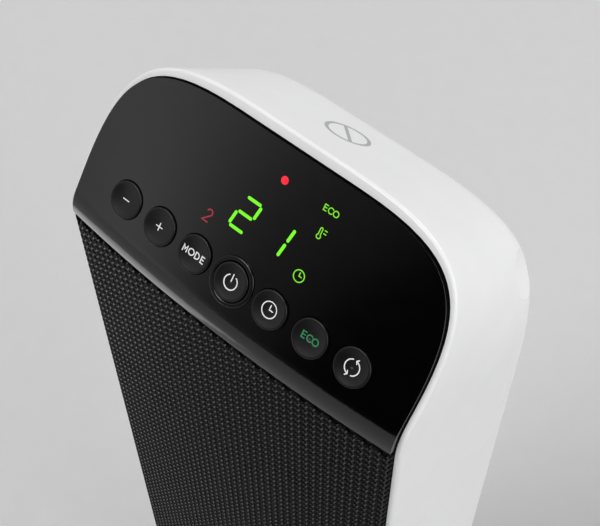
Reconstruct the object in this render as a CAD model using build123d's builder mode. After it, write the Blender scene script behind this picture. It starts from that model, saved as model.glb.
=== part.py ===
from build123d import *
import math
import os

os.makedirs("parts", exist_ok=True)

# Oscillating ceramic tower heater, in millimetres.
# Origin: centre of the base on the floor. +Z up, the front faces -Y, the swivel axis is the Z axis.

# ---------------------------------------------------------------- driving dimensions
TOWER_HALF = 90.0  # half the width of the tower
TOWER_BACK = 50.0  # rear face
TOWER_BOTTOM = 36.0  # underside of the tower, just above the base
WALL = 2.5  # moulded wall
ROW_Y, ROW_Z = -45.0, 582.0  # centre of the row of buttons on the panel face
PANEL_LEAN = 40.0  # panel face, degrees back from upright
HEAD_SLOPE = 37.0  # fall of the top surface towards the back, degrees
BUTTON_PITCH = 20.0
REAR_ROUND = 21.0  # rounding of the rear edges of the tower
SHOULDER = 0.8  # handle length of the soft square corners, as a share of the corner
BASE_R, BASE_TOP = 110.0, 34.0
FOOT_H = 2.5

lean, slope = math.radians(PANEL_LEAN), math.radians(HEAD_SLOPE)
panel_up = Vector(0, math.sin(lean), math.cos(lean))
panel_out = Vector(0, -math.cos(lean), math.sin(lean))
head_up = Vector(0, math.sin(slope), math.cos(slope))
head_out = Vector(0, -math.cos(slope), math.sin(slope))
row_centre = Vector(0, ROW_Y, ROW_Z)
panel_plane = Plane(origin=row_centre, x_dir=(1, 0, 0), z_dir=panel_out)
head_plane = Plane(origin=row_centre, x_dir=(1, 0, 0), z_dir=head_out)


def finish(builder, name):
    """Label a finished piece and write it under its node name."""
    builder.part.label = name
    export_step(builder.part, f"parts/{name}.step")


def arch(half, top, corner, bottom):
    """Upright arch with soft square shoulders, as a face of the current sketch."""
    reach = SHOULDER * corner
    with BuildLine() as outline:
        Line((half, bottom), (half, top - corner))
        Bezier(
            (half, top - corner),
            (half, top - corner + reach),
            (half - corner + reach, top),
            (half - corner, top),
        )
        Line((half - corner, top), (0, top))
        mirror(about=Plane.YZ)
        Line((-half, bottom), (half, bottom))
    make_face(outline.edges())


# ---------------------------------------------------------------- tower form
HEAD_TOP = 63.6  # top surface above the row centre, square to the slope
HEAD_CORNER = 66.0
LIP_Y = -50.5  # front lip of the shell beside the grille
RIM_SET = 4.9  # front rim of the head behind the head plane through the row centre
KNEE_R = 30.0  # bend from the upright lip into the leaning rim
RIM_ROUND = 1.3  # rounding along the outside of the front rim
PANEL_HALF, PANEL_TOP, PANEL_CORNER = 86.9, 58.6, 58.0
PANEL_GAP = 0.5
FAR = 900.0  # past every end of the tower


def rear_loop(part):
    """Edges around the flat rear face, apart from the one along its bottom."""
    return part.faces().sort_by(Axis.Y)[-1].edges().sort_by(Axis.Z)[1:]


def front_loop(part):
    """Edges around the outside of the front rim, apart from the one along its bottom."""
    front_faces = part.faces().filter_by(lambda face: face.normal_at().Y < -0.5)
    bounds = [edge for face in front_faces for edge in face.edges()]
    outside = [
        edge for edge in bounds
        if not any(edge is not other and edge.is_same(other) for other in bounds)
    ]
    return ShapeList(outside).sort_by(Axis.Z)[1:]


rim_low = row_centre - head_out * RIM_SET - head_up * FAR
rim_high = row_centre - head_out * RIM_SET + head_up * FAR
knee_share = (LIP_Y - rim_low.Y) / (rim_high.Y - rim_low.Y)
knee_z = rim_low.Z + knee_share * (rim_high.Z - rim_low.Z)

with BuildPart() as tower_form:
    with BuildSketch(head_plane):
        arch(TOWER_HALF, HEAD_TOP, HEAD_CORNER, -FAR)
    extrude(amount=FAR, both=True)
    with BuildSketch(Plane.YZ) as side_form:
        with BuildLine():
            Polyline(
                (LIP_Y, TOWER_BOTTOM),
                (LIP_Y, knee_z),
                (rim_high.Y, rim_high.Z),
                (FAR, rim_high.Z),
                (FAR, TOWER_BOTTOM),
                close=True,
            )
        make_face()
        fillet(side_form.vertices().sort_by_distance((LIP_Y, knee_z))[0], KNEE_R)
    extrude(amount=2 * TOWER_HALF, both=True, mode=Mode.INTERSECT)
    split(bisect_by=Plane(origin=(0, TOWER_BACK, 0), z_dir=(0, 1, 0)), keep=Keep.BOTTOM)
    fillet(rear_loop(tower_form), REAR_ROUND)
    fillet(front_loop(tower_form), RIM_ROUND)

# The hollow has the control panel's outline, so the shell is thicker at the top than at the sides.
with BuildPart() as tower_hollow:
    with BuildSketch(head_plane):
        arch(PANEL_HALF + PANEL_GAP, PANEL_TOP + PANEL_GAP, PANEL_CORNER, -FAR)
    extrude(amount=FAR, both=True)
    split(bisect_by=Plane(origin=(0, TOWER_BACK - WALL, 0), z_dir=(0, 1, 0)), keep=Keep.BOTTOM)
    with BuildSketch(Plane.XY):
        Rectangle(3 * TOWER_HALF, FAR)
    extrude(amount=FAR, mode=Mode.INTERSECT)
    fillet(rear_loop(tower_hollow), REAR_ROUND - WALL)

# ---------------------------------------------------------------- shell
GRILLE_HALF = 87.0
GRILLE_BOTTOM, GRILLE_TOP = 42.0, ROW_Z - 21.4
COVER_HALF, COVER_LOW, COVER_HIGH, COVER_CORNER = 66.0, 42.0, 548.0, 8.0
COVER_GAP = 0.4
LEDGE = 6.0  # ledge behind the edge of the rear cover
LEDGE_T = 2.5
GRIP_HALF, GRIP_R, GRIP_Z = 58.0, 11.6, ROW_Z - 10.5  # slot across the back of the head, for lifting
GRIP_DEPTH, GRIP_WALL = 25.0, 2.2
THUMB_R, THUMB_DEPTH, THUMB_WALL = 24.0, 2.0, 2.2  # shallow thumb rests on the rear corners
THUMB_SPOT = Vector(80.5, 37.0, 573.0)
THUMB_OUT = Vector(0.78, 0.45, 0.42).normalized()
BADGE_R, BADGE_DOWN, BADGE_SINK = 10.0, 33.0, 0.3
SCREW_R, SCREW_HEAD_R = 1.4, 2.8
CLEAR = 0.1
cover_screws = [(x, z) for x in (-1, 1) for z in (60.0, 300.0, 530.0)]

top_edge = row_centre - head_out * RIM_SET + head_up * HEAD_TOP
badge_plane = Plane(
    origin=top_edge - head_out * BADGE_DOWN,
    x_dir=(1, 0, 0),
    z_dir=head_up,
)
rear_plane = Plane(origin=(0, TOWER_BACK, 0), x_dir=(-1, 0, 0), z_dir=(0, 1, 0))


def rear_screw_places():
    """Centres of the rear cover's screws on the rear plane, whose x runs towards -X."""
    return [(side * (COVER_HALF - LEDGE / 2 + COVER_GAP), z) for side, z in cover_screws]


with BuildPart() as grip_pocket:
    with BuildSketch(rear_plane):
        with Locations((0, GRIP_Z)):
            SlotOverall(2 * GRIP_HALF, 2 * GRIP_R)
    extrude(amount=-GRIP_DEPTH)

with BuildPart() as grip_lining:
    with BuildSketch(rear_plane):
        with Locations((0, GRIP_Z)):
            SlotOverall(2 * (GRIP_HALF + GRIP_WALL), 2 * (GRIP_R + GRIP_WALL))
    extrude(amount=-GRIP_DEPTH - GRIP_WALL)
    add(tower_form.part, mode=Mode.INTERSECT)

thumb_centre = THUMB_SPOT + THUMB_OUT * (THUMB_R - THUMB_DEPTH)
thumb_places = [thumb_centre, Vector(-thumb_centre.X, thumb_centre.Y, thumb_centre.Z)]

with BuildPart() as thumb_backing:
    with Locations(*thumb_places):
        Sphere(THUMB_R + THUMB_WALL)
    add(tower_form.part, mode=Mode.INTERSECT)

with BuildPart() as body_shell:
    add(tower_form.part)
    add(tower_hollow.part, mode=Mode.SUBTRACT)
    add(grip_lining.part)
    add(thumb_backing.part)
    add(grip_pocket.part, mode=Mode.SUBTRACT)
    with Locations(*thumb_places):
        Sphere(THUMB_R, mode=Mode.SUBTRACT)
    # ledge for the rear cover
    with BuildSketch(rear_plane.offset(-WALL)):
        with Locations((0, (COVER_LOW + COVER_HIGH) / 2)):
            RectangleRounded(2 * COVER_HALF + 10, COVER_HIGH - COVER_LOW + 6, COVER_CORNER)
    extrude(amount=-LEDGE_T)
    with BuildSketch(rear_plane):
        with Locations((0, (COVER_LOW + COVER_HIGH) / 2)):
            RectangleRounded(
                2 * (COVER_HALF + COVER_GAP),
                COVER_HIGH - COVER_LOW + 2 * COVER_GAP,
                COVER_CORNER + COVER_GAP,
            )
    extrude(amount=-WALL, mode=Mode.SUBTRACT)
    with BuildSketch(rear_plane):
        with Locations((0, (COVER_LOW + COVER_HIGH) / 2)):
            RectangleRounded(
                2 * (COVER_HALF - LEDGE),
                COVER_HIGH - COVER_LOW - 2 * LEDGE,
                COVER_CORNER - LEDGE / 2,
            )
    extrude(amount=-2 * (WALL + LEDGE_T), mode=Mode.SUBTRACT)
    with BuildSketch(rear_plane):
        with Locations(*rear_screw_places()):
            Circle(SCREW_R + CLEAR)
    extrude(amount=-2 * (WALL + LEDGE_T), mode=Mode.SUBTRACT)
    # seat of the badge on the top surface
    with BuildSketch(badge_plane):
        Circle(BADGE_R + CLEAR)
        Circle(BADGE_R - 1.5 - CLEAR, mode=Mode.SUBTRACT)
        Rectangle(1.4 + 2 * CLEAR, 2 * (BADGE_R - 1), rotation=40)
    extrude(amount=-BADGE_SINK, mode=Mode.SUBTRACT)
finish(body_shell, "body_shell")

with BuildPart() as top_badge:
    with BuildSketch(badge_plane.offset(-BADGE_SINK)):
        Circle(BADGE_R)
        Circle(BADGE_R - 1.5, mode=Mode.SUBTRACT)
        Rectangle(1.4, 2 * (BADGE_R - 1), rotation=40)
    extrude(amount=BADGE_SINK)
finish(top_badge, "top_badge")

# ---------------------------------------------------------------- control panel
BOW = 3.9  # how far the panel's sides sit behind its middle, at the chin
BOW_HALF = 88.0
CHIN_V = -13.0  # start of the chin's round, down the panel face from the button row
CHIN_R = 16.9
CHIN_END = ROW_Z - 21.1  # underside of the panel, just above the grille
PANEL_T = 2.5
TRAY_DEPTH = 9.0
HOLE_R = 8.37
COLLAR_R, COLLAR_SINK, COLLAR_PROUD = 10.4, 0.8, 0.7


def panel_point(across, up, inward=0.0):
    """Point on the bowed panel face, up the face from the button row, or behind it."""
    share = (PANEL_TOP - up) / (PANEL_TOP - CHIN_V)
    bow = BOW * (across / BOW_HALF) ** 2 * share
    return row_centre + panel_up * up + Vector(across, bow, 0) - panel_out * inward


def panel_section(across, inset, depth):
    """Cross-section of the panel block at one place across it, drawn in by inset."""
    high = panel_point(across, PANEL_TOP + 6, inset)
    chin = panel_point(across, CHIN_V, inset)
    fall = (chin - high).normalized()
    turn = math.degrees(math.atan2(-fall.Y, -fall.Z))
    back = panel_point(across, PANEL_TOP + 6, depth)
    with BuildSketch(Plane.YZ.offset(across)) as section:
        with BuildLine():
            Line((high.Y, high.Z), (chin.Y, chin.Z))
            chin_arc = JernArc((chin.Y, chin.Z), (fall.Y, fall.Z), CHIN_R - inset, turn)
            front = (chin_arc @ 1).X
            Line(chin_arc @ 1, (front, CHIN_END))
            Line((front, CHIN_END), (front + depth - 2, CHIN_END))
            Line((front + depth - 2, CHIN_END), (back.Y, back.Z))
            Line((back.Y, back.Z), (high.Y, high.Z))
        make_face()
    return section.sketch


bow_places = [BOW_HALF * share for share in (-1, -0.5, 0, 0.5, 1)]
outer_block = loft([panel_section(x, 0, TRAY_DEPTH) for x in bow_places])
inner_block = loft([panel_section(x, PANEL_T, TRAY_DEPTH + 25) for x in bow_places])

with BuildPart() as panel_hollow:
    with BuildSketch(panel_plane):
        arch(PANEL_HALF - PANEL_T, PANEL_TOP - PANEL_T, PANEL_CORNER - PANEL_T, -BOW_HALF)
    extrude(amount=BOW_HALF, both=True)
    add(inner_block, mode=Mode.INTERSECT)
    split(bisect_by=Plane.XY.offset(CHIN_END + PANEL_T), keep=Keep.TOP)

button_names = ["minus", "plus", "mode", "power", "timer", "eco", "swing"]
button_across = [BUTTON_PITCH * (index - 3) for index in range(len(button_names))]


def button_plane(across):
    """Plane on the panel face at a button's centre, with its normal facing out."""
    return Plane(origin=panel_point(across, 0), x_dir=(1, 0, 0), z_dir=panel_out)


BOSS_R = 3.5
BOARD_FACE, BOARD_T = 9.6, 1.6  # front of the board behind the panel face, and its thickness
boss_places = [(-73, 6), (73, 6), (-54, 38), (54, 38)]

board_plane = panel_plane.offset(-BOARD_FACE)

with BuildPart() as control_panel:
    with BuildSketch(panel_plane):
        arch(PANEL_HALF, PANEL_TOP, PANEL_CORNER, -BOW_HALF)
    extrude(amount=BOW_HALF, both=True)
    add(outer_block, mode=Mode.INTERSECT)
    add(panel_hollow.part, mode=Mode.SUBTRACT)
    with BuildSketch(board_plane):
        with Locations(*boss_places):
            Circle(BOSS_R)
    extrude(amount=BOARD_FACE - PANEL_T - 0.1)
    with BuildSketch(board_plane):
        with Locations(*boss_places):
            Circle(SCREW_R + CLEAR)
    extrude(amount=5, mode=Mode.SUBTRACT)
    for across in button_across:
        with BuildSketch(button_plane(across).offset(1)):
            Circle(HOLE_R)
        extrude(amount=-6, mode=Mode.SUBTRACT)
    with BuildSketch(panel_plane.offset(1)):
        Circle(COLLAR_R + CLEAR)
    extrude(amount=-1 - COLLAR_SINK, mode=Mode.SUBTRACT)
finish(control_panel, "control_panel")

with BuildPart() as power_collar:
    with BuildSketch(panel_plane.offset(-COLLAR_SINK)):
        Circle(COLLAR_R)
        Circle(HOLE_R, mode=Mode.SUBTRACT)
    extrude(amount=COLLAR_SINK + COLLAR_PROUD)
    fillet(power_collar.edges().group_by(Axis(row_centre, panel_out))[-1], 0.5)
finish(power_collar, "power_button_collar")

BUTTON_R, BUTTON_PROUD, BUTTON_T = 8.0, 1.2, 4.5  # above and below the panel's face
BUTTON_LIP_R, BUTTON_LIP_T = 9.4, 1.2
STEM_R, STEM_END = 3.0, 7.2  # stems end this far behind the plane through the row
DISH_R, DISH_DEPTH = 42.0, 0.6
for name, across in zip(button_names, button_across):
    face = button_plane(across)
    face_sink = (row_centre - face.origin).dot(panel_out)
    with BuildPart() as button:
        with BuildSketch(face.offset(BUTTON_PROUD)):
            Circle(BUTTON_R)
        extrude(amount=-BUTTON_PROUD - BUTTON_T)
        fillet(button.edges().group_by(Axis(face.origin, face.z_dir))[-1], 0.5)
        with BuildSketch(face.offset(-PANEL_T - 0.6)):
            Circle(BUTTON_LIP_R)
        extrude(amount=-BUTTON_LIP_T)
        with BuildSketch(face.offset(-BUTTON_T)):
            Circle(STEM_R)
        extrude(amount=-(STEM_END - BUTTON_T - face_sink))
        with Locations(face.offset(DISH_R + BUTTON_PROUD - DISH_DEPTH)):
            Sphere(DISH_R, mode=Mode.SUBTRACT)
    finish(button, f"button_{name}")

with BuildPart() as keypad_mat:
    with BuildSketch(board_plane):
        RectangleRounded(136, 15, 4)
    extrude(amount=0.8)
    for across in button_across:
        with BuildSketch(board_plane.offset(0.8)):
            with Locations((across, 0)):
                Circle(4)
        extrude(amount=0.5, taper=20)
finish(keypad_mat, "keypad_mat")

with BuildPart() as control_board:
    with BuildSketch(board_plane):
        with Locations((0, 6)):
            RectangleRounded(158, 30, 3)
        with Locations((0, 30)):
            RectangleRounded(120, 30, 3)
        with Locations(*boss_places):
            Circle(SCREW_R + CLEAR, mode=Mode.SUBTRACT)
    extrude(amount=-BOARD_T)
finish(control_board, "control_board")

with BuildPart() as board_screws:
    with BuildSketch(board_plane.offset(-BOARD_T)):
        with Locations(*boss_places):
            Circle(SCREW_R)
    extrude(amount=5.5)
    with BuildSketch(board_plane.offset(-BOARD_T)):
        with Locations(*boss_places):
            Circle(SCREW_HEAD_R)
    extrude(amount=-1.8)
finish(board_screws, "board_screws")

with BuildPart() as display_module:
    with BuildSketch(board_plane):
        with Locations((0, 32)):
            Rectangle(64, 36)
    extrude(amount=5)
finish(display_module, "display_module")

# ---------------------------------------------------------------- grille and front frame
GRILLE_SIDE_Y, GRILLE_MID_Y = -53.3, -57.1
GRILLE_ROUND = 2.0
GRILLE_T = 1.2
FRAME_BACK, FRAME_FRONT = -41.5, -43.9


def bowed_face(half, side_y, middle_y, back_y):
    """Plan of something flat at the back and bowed at the front, in the current sketch."""
    with BuildLine() as outline:
        ThreePointArc((-half, side_y), (0, middle_y), (half, side_y))
        Polyline((half, side_y), (half, back_y), (-half, back_y), (-half, side_y))
    make_face(outline.edges())


with BuildPart() as front_grille:
    with BuildSketch(Plane.XY.offset(GRILLE_BOTTOM)) as grille_plan:
        bowed_face(GRILLE_HALF, GRILLE_SIDE_Y, GRILLE_MID_Y, FRAME_FRONT)
        fillet(grille_plan.vertices().group_by(Axis.Y)[0], GRILLE_ROUND)
    extrude(amount=GRILLE_TOP - GRILLE_BOTTOM)
    with BuildSketch(Plane.XY.offset(GRILLE_BOTTOM)) as grille_inside:
        bowed_face(
            GRILLE_HALF - GRILLE_T, GRILLE_SIDE_Y + GRILLE_T, GRILLE_MID_Y + GRILLE_T, FRAME_FRONT
        )
    extrude(amount=GRILLE_TOP - GRILLE_BOTTOM, mode=Mode.SUBTRACT)
finish(front_grille, "front_grille")

OUTLET_HALF, OUTLET_LOW, OUTLET_HIGH = 40.0, 118.0, 452.0
outlet_mid, outlet_tall = (OUTLET_LOW + OUTLET_HIGH) / 2, OUTLET_HIGH - OUTLET_LOW
front_plane = Plane(origin=(0, FRAME_FRONT, 0), x_dir=(1, 0, 0), z_dir=(0, -1, 0))

with BuildPart() as front_frame:
    with BuildSketch(front_plane):
        with Locations((0, (GRILLE_BOTTOM + GRILLE_TOP - 3) / 2)):
            Rectangle(2 * (PANEL_HALF + 0.2), GRILLE_TOP - 3 - GRILLE_BOTTOM)
        with Locations((0, outlet_mid)):
            RectangleRounded(2 * OUTLET_HALF, outlet_tall, 4, mode=Mode.SUBTRACT)
    extrude(amount=FRAME_FRONT - FRAME_BACK)
finish(front_frame, "front_frame")

with BuildPart() as outlet_guard:
    with BuildSketch(front_plane.offset(4.5)):
        with Locations((0, outlet_mid)):
            RectangleRounded(2 * OUTLET_HALF - 1, outlet_tall - 1, 4)
            Rectangle(2 * OUTLET_HALF - 5, outlet_tall - 5, mode=Mode.SUBTRACT)
            with GridLocations(8, 1, 9, 1):
                Rectangle(1.6, outlet_tall - 4)
            with GridLocations(1, 80, 1, 5):
                Rectangle(2 * OUTLET_HALF - 4, 1.6)
    extrude(amount=FRAME_FRONT - FRAME_BACK - 5)
finish(outlet_guard, "outlet_guard")


# ---------------------------------------------------------------- rear cover and filter
COVER_MID, COVER_TALL = (COVER_LOW + COVER_HIGH) / 2, COVER_HIGH - COVER_LOW
INTAKE_HALF, INTAKE_LOW, INTAKE_HIGH = 50.0, 140.0, 440.0
INTAKE_MID, INTAKE_TALL = (INTAKE_LOW + INTAKE_HIGH) / 2, INTAKE_HIGH - INTAKE_LOW
SWITCH_X, INLET_X, SERVICE_Z = -38.0, 38.0, 84.0
SWITCH_W, SWITCH_H = 12.0, 19.0
INLET_R, INLET_BORE_R, INLET_LENGTH = 8.0, 3.6, 15.0

with BuildPart() as rear_cover:
    with BuildSketch(rear_plane):
        with Locations((0, COVER_MID)):
            RectangleRounded(2 * COVER_HALF, COVER_TALL, COVER_CORNER)
    extrude(amount=-WALL)
    # guard bars across the intake, set behind the filter
    with BuildSketch(rear_plane.offset(-WALL)):
        with Locations((0, INTAKE_MID)):
            Rectangle(2 * INTAKE_HALF + 4, INTAKE_TALL + 4)
    extrude(amount=-5)
    with BuildSketch(rear_plane):
        with Locations((0, INTAKE_MID)):
            RectangleRounded(2 * INTAKE_HALF, INTAKE_TALL, 4)
    extrude(amount=-WALL - 3, mode=Mode.SUBTRACT)
    with BuildSketch(rear_plane):
        with Locations((0, INTAKE_MID)):
            with GridLocations(2 * INTAKE_HALF / 8, INTAKE_TALL / 5, 8, 5):
                Rectangle(2 * INTAKE_HALF / 8 - 2, INTAKE_TALL / 5 - 4)
    extrude(amount=-WALL - 6, mode=Mode.SUBTRACT)
    # openings for the switch, the cord inlet and the screws
    with BuildSketch(rear_plane):
        with Locations((-SWITCH_X, SERVICE_Z)):
            Rectangle(SWITCH_W, SWITCH_H)
        with Locations((-INLET_X, SERVICE_Z)):
            Circle(INLET_R - 1.5)
        with Locations(*rear_screw_places()):
            Circle(SCREW_R + CLEAR)
    extrude(amount=-WALL, mode=Mode.SUBTRACT)
    with BuildSketch(rear_plane):
        with Locations(*rear_screw_places()):
            Circle(SCREW_HEAD_R + CLEAR)
    extrude(amount=-1.4, mode=Mode.SUBTRACT)
finish(rear_cover, "rear_cover")

with BuildPart() as rear_screws:
    for across, up in rear_screw_places():
        with BuildSketch(rear_plane.offset(-0.2)):
            with Locations((across, up)):
                Circle(SCREW_HEAD_R)
        extrude(amount=-1.2)
        with BuildSketch(rear_plane.offset(-0.2)):
            with Locations((across, up)):
                Circle(SCREW_R)
        extrude(amount=-6.5)
finish(rear_screws, "rear_screws")

with BuildPart() as filter_cover:
    with BuildSketch(rear_plane.offset(0.6)):
        with Locations((0, INTAKE_MID)):
            RectangleRounded(2 * INTAKE_HALF - 0.8, INTAKE_TALL - 0.8, 4)
    extrude(amount=-2.6)
    with BuildSketch(rear_plane.offset(1)):
        with Locations((0, INTAKE_MID)):
            with GridLocations(31.5, 8, 3, 35):
                SlotOverall(28, 4.4)
    extrude(amount=-4, mode=Mode.SUBTRACT)
finish(filter_cover, "filter_cover")

with BuildPart() as dust_filter:
    with BuildSketch(rear_plane.offset(-2.1)):
        with Locations((0, INTAKE_MID)):
            Rectangle(2 * INTAKE_HALF - 4, INTAKE_TALL - 4)
    extrude(amount=-2.6)
finish(dust_filter, "dust_filter")

ROCKER_TILT = 9.0  # the rocker rests with its lower half pressed in
rocker_axis_y = TOWER_BACK - 3.0
PIVOT_R, PIVOT_REACH = 1.2, SWITCH_W / 2 - 0.7  # round pins that the rocker tilts on
with BuildPart() as rocker_bezel:
    with BuildSketch(rear_plane.offset(1.5)):
        with Locations((-SWITCH_X, SERVICE_Z)):
            RectangleRounded(SWITCH_W + 4, SWITCH_H + 4, 1.5)
    extrude(amount=-1.5)
    with BuildSketch(rear_plane):
        with Locations((-SWITCH_X, SERVICE_Z)):
            Rectangle(SWITCH_W - 0.2, SWITCH_H - 0.2)
    extrude(amount=-16)
    with BuildSketch(rear_plane.offset(1.5)):
        with Locations((-SWITCH_X, SERVICE_Z)):
            Rectangle(SWITCH_W - 2.4, SWITCH_H - 2.4)
    extrude(amount=-14, mode=Mode.SUBTRACT)
    with BuildSketch(Plane.YZ.offset(SWITCH_X)):
        with Locations((rocker_axis_y, SERVICE_Z)):
            Circle(PIVOT_R + CLEAR)
    extrude(amount=PIVOT_REACH + CLEAR, both=True, mode=Mode.SUBTRACT)
finish(rocker_bezel, "rocker_bezel")

with BuildPart() as rocker_form:
    with BuildSketch(Plane.YZ.offset(SWITCH_X - SWITCH_W / 2 + 1.5)):
        with BuildLine():
            Polyline(
                (rocker_axis_y - 3, SERVICE_Z - 3),
                (rocker_axis_y + 1.5, SERVICE_Z - 7.4),
                (rocker_axis_y + 4.6, SERVICE_Z - 7.4),
                (rocker_axis_y + 3.4, SERVICE_Z),
                (rocker_axis_y + 4.6, SERVICE_Z + 7.4),
                (rocker_axis_y + 1.5, SERVICE_Z + 7.4),
                (rocker_axis_y - 3, SERVICE_Z + 3),
                close=True,
            )
        make_face()
    extrude(amount=SWITCH_W - 3)
    with BuildSketch(Plane.YZ.offset(SWITCH_X)):
        with Locations((rocker_axis_y, SERVICE_Z)):
            Circle(PIVOT_R)
    extrude(amount=PIVOT_REACH, both=True)
rocker_hinge = Axis((SWITCH_X, rocker_axis_y, SERVICE_Z), (1, 0, 0))
with BuildPart() as power_rocker:
    add(rocker_form.part.rotate(rocker_hinge, ROCKER_TILT))
finish(power_rocker, "power_rocker")

with BuildPart() as cord_inlet:
    with BuildSketch(rear_plane.offset(3)):
        with Locations((-INLET_X, SERVICE_Z)):
            Circle(INLET_R)
    extrude(amount=-3)
    with BuildSketch(rear_plane):
        with Locations((-INLET_X, SERVICE_Z)):
            Circle(INLET_R - 1.5 - CLEAR)
    extrude(amount=-INLET_LENGTH + 3)
    with BuildSketch(rear_plane.offset(3)):
        with Locations((-INLET_X, SERVICE_Z)):
            Circle(INLET_BORE_R)
    extrude(amount=-INLET_LENGTH, mode=Mode.SUBTRACT)
finish(cord_inlet, "cord_inlet")

# ---------------------------------------------------------------- heater and blower
FAN_Y, FAN_R, FAN_LOW, FAN_HIGH = 8.0, 27.0, 142.0, 430.0
SHAFT_R = 3.0
HEATER_HALF, HEATER_FRONT, HEATER_BACK, HEATER_LOW, HEATER_HIGH = 34.0, -40.5, -21.0, 150.0, 424.0
HEATER_MID, HEATER_TALL = (HEATER_LOW + HEATER_HIGH) / 2, HEATER_HIGH - HEATER_LOW
heater_plane = Plane(origin=(0, HEATER_FRONT, 0), x_dir=(1, 0, 0), z_dir=(0, -1, 0))
HEATER_DEPTH = HEATER_BACK - HEATER_FRONT
STONE_T = 2.4
FIN_PITCH, FIN_COUNT = 5.2, 50

with BuildPart() as heater_frame:
    with BuildSketch(heater_plane):
        with Locations((0, HEATER_MID)):
            Rectangle(2 * HEATER_HALF, HEATER_TALL)
            Rectangle(2 * HEATER_HALF - 10, HEATER_TALL - 10, mode=Mode.SUBTRACT)
    extrude(amount=-HEATER_DEPTH)
finish(heater_frame, "heater_frame")

COMB_HALF = (HEATER_HALF - 5 - 1.5 * STONE_T - 0.6) / 2
comb_places = [-COMB_HALF - STONE_T / 2 - 0.1, COMB_HALF + STONE_T / 2 + 0.1]
with BuildPart() as heater_fins:
    for across in comb_places:
        with BuildSketch(heater_plane.offset(-2)):
            with Locations((across, HEATER_MID)):
                with GridLocations(2 * COMB_HALF - 0.8, 1, 2, 1):
                    Rectangle(0.8, HEATER_TALL - 12)
                with GridLocations(1, FIN_PITCH, 1, FIN_COUNT):
                    Rectangle(2 * COMB_HALF - 0.8, 0.8)
        extrude(amount=-HEATER_DEPTH + 4)
finish(heater_fins, "heater_fins")

with BuildPart() as ptc_stones:
    with BuildSketch(heater_plane.offset(-2)):
        with Locations((0, HEATER_MID)):
            for across in (0, 2 * COMB_HALF + STONE_T + 0.2, -2 * COMB_HALF - STONE_T - 0.2):
                with Locations((across, 0)):
                    with GridLocations(1, 26, 1, 10):
                        Rectangle(STONE_T, 25)
    extrude(amount=-HEATER_DEPTH + 4)
finish(ptc_stones, "ptc_stones")

with BuildPart() as thermal_cutout:
    with BuildSketch(Plane.XY.offset(HEATER_HIGH)):
        with Locations((0, (HEATER_FRONT + HEATER_BACK) / 2)):
            RectangleRounded(26, 12, 3)
    extrude(amount=1.5)
    with BuildSketch(Plane.XY.offset(HEATER_HIGH + 1.5)):
        with Locations((0, (HEATER_FRONT + HEATER_BACK) / 2)):
            Circle(6)
    extrude(amount=7)
finish(thermal_cutout, "thermal_cutout")

BLADES = 26
with BuildPart() as fan_impeller:
    with BuildSketch(Plane.XY.offset(FAN_LOW)):
        with Locations((0, FAN_Y)):
            with PolarLocations(FAN_R - 4.2, BLADES):
                Rectangle(7.4, 0.9, rotation=38)
    extrude(amount=FAN_HIGH - FAN_LOW)
    for low in (FAN_LOW, FAN_HIGH - 2):
        with BuildSketch(Plane.XY.offset(low)):
            with Locations((0, FAN_Y)):
                Circle(FAN_R)
                Circle(SHAFT_R, mode=Mode.SUBTRACT)
        extrude(amount=2)
    for share in (1 / 3, 2 / 3):
        with BuildSketch(Plane.XY.offset(FAN_LOW + share * (FAN_HIGH - FAN_LOW) - 1)):
            with Locations((0, FAN_Y)):
                Circle(FAN_R)
                Circle(FAN_R - 9, mode=Mode.SUBTRACT)
        extrude(amount=2)
    for low in (FAN_LOW, FAN_HIGH - 12):
        with BuildSketch(Plane.XY.offset(low)):
            with Locations((0, FAN_Y)):
                Circle(7)
                Circle(SHAFT_R, mode=Mode.SUBTRACT)
        extrude(amount=12)
finish(fan_impeller, "fan_impeller")

DUCT_LOW, DUCT_HIGH, DUCT_T = 135.0, 437.0, 3.0
MOTOR_LOW, MOTOR_HIGH, MOTOR_R = 66.0, 122.0, 26.0
SHAFT_LOW, SHAFT_HIGH = 98.0, 449.0
with BuildPart() as fan_shaft:
    with BuildSketch(Plane.XY.offset(SHAFT_LOW)):
        with Locations((0, FAN_Y)):
            Circle(SHAFT_R)
    extrude(amount=SHAFT_HIGH - SHAFT_LOW)
finish(fan_shaft, "fan_shaft")

with BuildPart() as fan_motor:
    with BuildSketch(Plane.XY.offset(MOTOR_LOW)):
        with Locations((0, FAN_Y)):
            Circle(MOTOR_R)
    extrude(amount=MOTOR_HIGH - MOTOR_LOW)
    fillet(fan_motor.edges().group_by(Axis.Z)[0], 4)
    with BuildSketch(Plane.XY.offset(SHAFT_LOW - 0.5)):
        with Locations((0, FAN_Y)):
            Circle(SHAFT_R + 0.05)
    extrude(amount=MOTOR_HIGH, mode=Mode.SUBTRACT)
finish(fan_motor, "fan_motor")

with BuildPart() as motor_plate:
    with BuildSketch(Plane.XY.offset(MOTOR_HIGH)):
        with Locations((0, FAN_Y)):
            Circle(MOTOR_R + 8)
            Circle(8, mode=Mode.SUBTRACT)
    extrude(amount=2.5)
finish(motor_plate, "motor_plate")

with BuildPart() as motor_mounts:
    with BuildSketch(Plane.XY.offset(MOTOR_HIGH + 2.5)):
        with Locations((0, FAN_Y)):
            with PolarLocations(MOTOR_R + 2, 3, 90):
                Circle(5)
    extrude(amount=DUCT_LOW - MOTOR_HIGH - 2.5)
finish(motor_mounts, "motor_mounts")

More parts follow.
